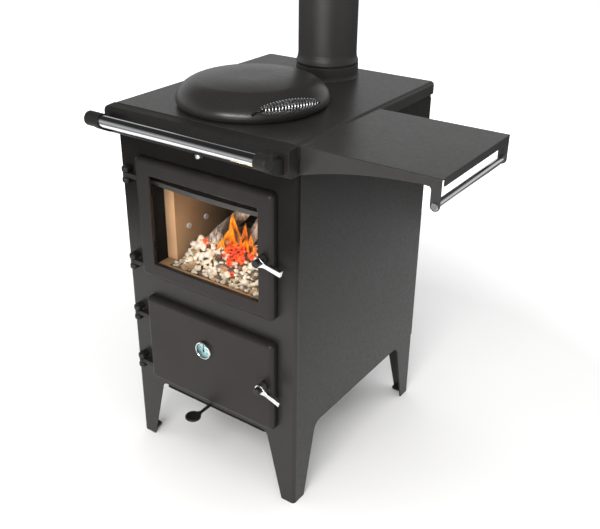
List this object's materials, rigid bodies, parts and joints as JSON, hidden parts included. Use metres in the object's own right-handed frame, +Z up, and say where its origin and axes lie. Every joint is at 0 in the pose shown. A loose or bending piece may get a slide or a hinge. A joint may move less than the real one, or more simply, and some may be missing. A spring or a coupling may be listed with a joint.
{
  "type": "wood burning stove",
  "caption": "Free-standing wood burning stove with glazed fire door, oven below, domed hob lid, hand rail, side shelf with towel rail, and a flue pipe.",
  "frame": {"origin": "centre of the whole footprint on the floor", "axes": "+Z up, -Y is the front with the doors, +X is the side with the shelf"},
  "size_m": [0.8184, 0.7006, 1.205],
  "materials": {
    "casing_paint": "satin black heat-proof paint",
    "hob_iron": "fine-textured black heat-proof paint on cast iron",
    "door_iron": "satin black paint on cast iron",
    "lid_paint": "smooth satin black",
    "bright_chrome": "polished chrome",
    "bare_steel": "plain bright steel",
    "sooty_steel": "matte black",
    "fire_board": "tan vermiculite board",
    "door_glass": "clear heat-proof glass",
    "lens_glass": "clear glass",
    "dial_face": "pale blue-green printed dial",
    "pointer_paint": "black",
    "rope": "grey glass-fibre rope",
    "black_knob": "matte black"
  },
  "bodies": {
    "stove_body": {"front_panel": "casing_paint", "latch_keeps": "casing_paint", "side_panel_left": "casing_paint", "side_panel_right": "casing_paint", "rear_panel": "casing_paint", "rear_heat_shield": "casing_paint", "base_plate": "casing_paint", "foot_tabs": "casing_paint", "flue_pipe": "casing_paint", "flue_collar": "casing_paint", "side_shelf": "casing_paint", "door_hinge_knuckles": "casing_paint", "lid_hinge_bracket": "casing_paint", "hob_top": "hob_iron", "hob_nose": "hob_iron", "hotplate": "hob_iron", "rail_brackets": "door_iron", "hand_rail": "bright_chrome", "towel_rail": "bright_chrome", "door_hinge_pins": "bare_steel", "lid_hinge_pin": "bare_steel", "brick_studs": "bare_steel", "panel_bolts": "bare_steel", "oven_rack": "bare_steel", "firebox_shell": "sooty_steel", "airwash_plate": "sooty_steel", "oven_box": "sooty_steel", "side_bricks": "fire_board", "rear_brick": "fire_board", "floor_brick": "fire_board", "baffle_plate": "fire_board"},
    "fire_door": {"fire_door": "door_iron", "fire_door_glass": "door_glass", "glass_clips": "bare_steel", "fire_door_seal": "rope"},
    "fire_handle": {"fire_handle": "bright_chrome", "fire_handle_cap": "black_knob", "fire_handle_spindle": "bare_steel", "fire_latch_tongue": "bare_steel"},
    "oven_door": {"oven_door": "door_iron", "oven_door_liner": "bare_steel", "oven_door_seal": "rope", "thermometer_case": "bright_chrome", "thermometer_dial": "dial_face", "thermometer_lens": "lens_glass"},
    "dial_pointer": {"thermometer_pointer": "pointer_paint"},
    "oven_handle": {"oven_handle": "bright_chrome", "oven_handle_cap": "black_knob", "oven_handle_spindle": "bare_steel", "oven_latch_tongue": "bare_steel"},
    "lid": {"lid_dome": "lid_paint", "lid_liner": "bare_steel", "lid_handle_rod": "sooty_steel", "lid_handle_coil": "bright_chrome"},
    "damper": {"damper_plate": "sooty_steel", "damper_rod": "bare_steel", "damper_knob": "bright_chrome"},
    "air_control": {"air_shutter": "sooty_steel", "air_rod": "sooty_steel", "air_knob": "black_knob"}
  },
  "joints": [
    {"name": "fire_door_hinge", "type": "hinge", "parent": "stove_body", "child": "fire_door", "pos_m": [-0.37675, -0.25975, 0.65], "axis": [0, 0, -1], "range_deg": [0, 110]},
    {"name": "oven_door_hinge", "type": "hinge", "parent": "stove_body", "child": "oven_door", "pos_m": [-0.37675, -0.25975, 0.322], "axis": [0, 0, -1], "range_deg": [0, 110]},
    {"name": "fire_handle_turn", "type": "hinge", "parent": "fire_door", "child": "fire_handle", "pos_m": [0.03125, -0.28375, 0.67], "axis": [0, 1, 0], "range_deg": [0, 80]},
    {"name": "oven_handle_turn", "type": "hinge", "parent": "oven_door", "child": "oven_handle", "pos_m": [0.02965, -0.28375, 0.342], "axis": [0, 1, 0], "range_deg": [0, 80]},
    {"name": "dial_pointer_turn", "type": "hinge", "parent": "oven_door", "child": "dial_pointer", "pos_m": [-0.15275, -0.26875, 0.3685], "axis": [0, 1, 0], "range_deg": [-120, 120]},
    {"name": "lid_hinge", "type": "hinge", "parent": "stove_body", "child": "lid", "pos_m": [-0.32149, 0.03525, 0.951], "axis": [-0.5, -0.866, 0], "range_deg": [0, 95]},
    {"name": "damper_pull", "type": "slide", "parent": "stove_body", "child": "damper", "axis": [0, -1, 0], "range_m": [0, 0.06]},
    {"name": "air_control_slide", "type": "slide", "parent": "stove_body", "child": "air_control", "axis": [0, -1, 0], "range_m": [-0.03, 0.03]}
  ]
}
